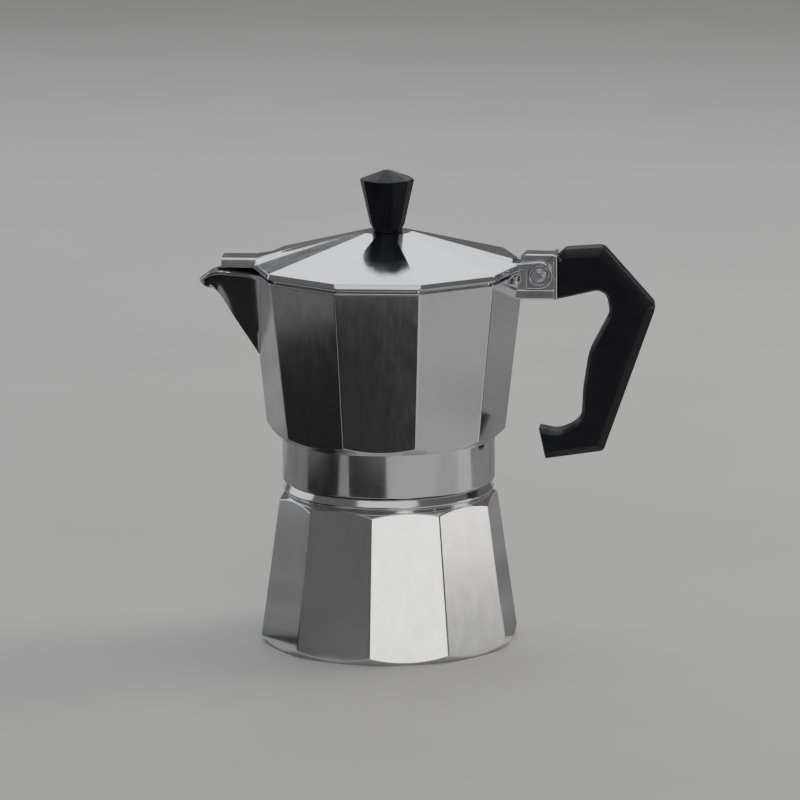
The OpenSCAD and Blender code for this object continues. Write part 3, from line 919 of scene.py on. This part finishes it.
def lid():
    """The lid with its hood and ears, bored for the hinge pin."""
    shell = turned("lid_shell", lid_outline, columns(0.0), True)
    boolean(shell, hood(), "UNION")
    boolean(shell, hood_hollow(), "DIFFERENCE")
    notch = prism("notch", box_outline(41.2, 60, 120, 140, 0.3), 4.5, 0.02)
    boolean(shell, notch, "DIFFERENCE")
    for side in (-1, 1):
        boolean(shell, ear(side), "UNION")
        boolean(shell, ear_dish(side), "DIFFERENCE")
    bore = lathe("bore", [(0, -9, 0), (1.55, -9, 0), (1.55, 9, 0), (0, 9, 0)], False, 40)
    bore.data.transform(on_pin(1))
    boolean(shell, bore, "DIFFERENCE")
    merge_flats(shell, lambda p: p.x > 40.5 and abs(p.y) > EAR_Y[0] - 0.1)
    finished(shell, "lid", [M_LID], ["lid"])


def knob_outline(theta):
    """The knob's section at one angle: a waist, widening upwards to a low faceted top."""
    def at(r, rounding):
        return facet_radius(theta, r, 0, rounding)
    return filleted([
        (0, LID_TOP + 0.02, 0), (at(5, 0.5), LID_TOP + 0.02, 0.2), (at(5, 0.5), LID_TOP + 1.2, 0.5),
        (at(5.7, 0.5), LID_TOP + 2.3, 0.8), (at(9, 0.6), KNOB_TOP - 3.2, 0.45),
        (at(1.2, 0.3), KNOB_TOP - 0.25, 0.5), (0, KNOB_TOP, 0)], False)


def knob():
    """The black knob, with its screw and washer under the lid."""
    piece = turned("knob_grip", knob_outline, columns(0.0), False)
    finished(piece, "lid", [M_RESIN], ["knob"])
    keep("knob_screw", M_STEEL)
    keep("knob_washer", M_STEEL)


def hinge_pin():
    """Pin with domed heads that have a turned ring."""
    head = [(1.5, 6.35, 0), (2.2, 6.35, 0.1), (2.2, 7.0, 0.35), (1.5, 7.0, 0.1), (1.3, 7.25, 0.3),
            (0, 7.25, 0)]
    corners = [(r, -y, fillet) for r, y, fillet in reversed(head)] + head
    pin = lathe("hinge_pin_turned", corners, False, 48)
    pin.data.transform(on_pin(1))
    finished(pin, "collector", [M_STEEL], ["hinge_pin"])


# ---------------------------------------------------------------- handle

# The handle's corners (x, z, rounding), from its top by the flange round the outside and back.
HANDLE = [(56.2, 129.6, 0.6), (58.8, 131.9, 2), (71.2, 132.8, 3.5), (88.5, 113.2, 3.5), (71.2, 64.6, 2),
          (52, 61.8, 0.6), (49.7, 72.4, 0.6), (56.2, 70.9, 8), (63.9, 74.4, 6.5), (64.5, 86, 30),
          (66.3, 97.5, 15), (73.3, 111, 6), (71.9, 118.9, 5), (56.2, 115.3, 0.3)]
HANDLE_W = 12.0
# How wide the chamfers are: the first edges run round the outside, and three of the edges have their own.
OUTER_EDGES = 5
OUTER_CHAMFER = 2.8
INNER_CHAMFER = 1.2
OWN_CHAMFERS = {0: 1.8, 5: 0.6, len(HANDLE) - 1: 0.4}
# A chamfer's section: share of its width, and share of its depth.
CHAMFER_LEVELS = [(1.0, 0.0), (0.92, 0.03), (0.5, 0.46), (0.06, 0.93), (0.0, 1.06)]


def chamfered_outline(corners, widths, steps):
    """An outline whose edges are each moved inwards by their own width, with its corners rounded."""
    count = len(corners)
    points = [np.array(c[:2], float) for c in corners]
    lines = []
    for i in range(count):
        along = points[(i + 1) % count] - points[i]
        along /= np.linalg.norm(along)
        inward = np.array((along[1], -along[0]))
        lines.append((points[i] + inward * widths[i], along))
    result = []
    for i in range(count):
        (p, u), (q, v) = lines[i - 1], lines[i]
        cross = u[0] * v[1] - u[1] * v[0]
        gap = q - p
        corner = p + u * (gap[0] * v[1] - gap[1] * v[0]) / cross
        width = (widths[i - 1] + widths[i]) / 2
        radius = corners[i][2] + (width if cross > 0 else -width)
        result.append((corner[0], corner[1], max(radius, 0.25)))
    return filleted(result, True, steps)


def handle():
    """Angled grip with wide chamfers outside and narrow ones inside."""
    widths = [OUTER_CHAMFER if i < OUTER_EDGES else INNER_CHAMFER for i in range(len(HANDLE))]
    for edge, width in OWN_CHAMFERS.items():
        widths[edge] = width
    half = HANDLE_W / 2
    rings = []
    for side in (-1, 1):
        for share, down in (CHAMFER_LEVELS if side < 0 else CHAMFER_LEVELS[::-1]):
            ring = chamfered_outline(HANDLE, [w * share for w in widths], 6)
            rings.append([(p[0], side * (half - OUTER_CHAMFER * down), p[1]) for p in ring])
    grip = loft("handle_grip", rings)
    finished(grip, "collector", [M_RESIN], ["handle"], sharp=30)
    keep("handle_screw", M_STEEL)


# ---------------------------------------------------------------- parts inside

def inside():
    """The gasket as a rounded ring, and better materials for the CAD parts inside."""
    bottom, top = low("gasket", 2), high("gasket", 2)
    corners = [(24.6, bottom, 0.5), (30, bottom, 0.5), (30, top, 0.5), (24.6, top, 0.5)]
    ring = lathe("gasket_ring", corners, True)
    finished(ring, "seal", [M_RUBBER], ["gasket"])
    keep("column", M_INSIDE)
    for node in ("filter_plate", "funnel_basket", "funnel_stem", "funnel_plate"):
        keep(node, M_SHEET)


camera()
floor()
lights()
boiler()
safety_valve()
collector()
lid()
knob()
hinge_pin()
handle()
inside()
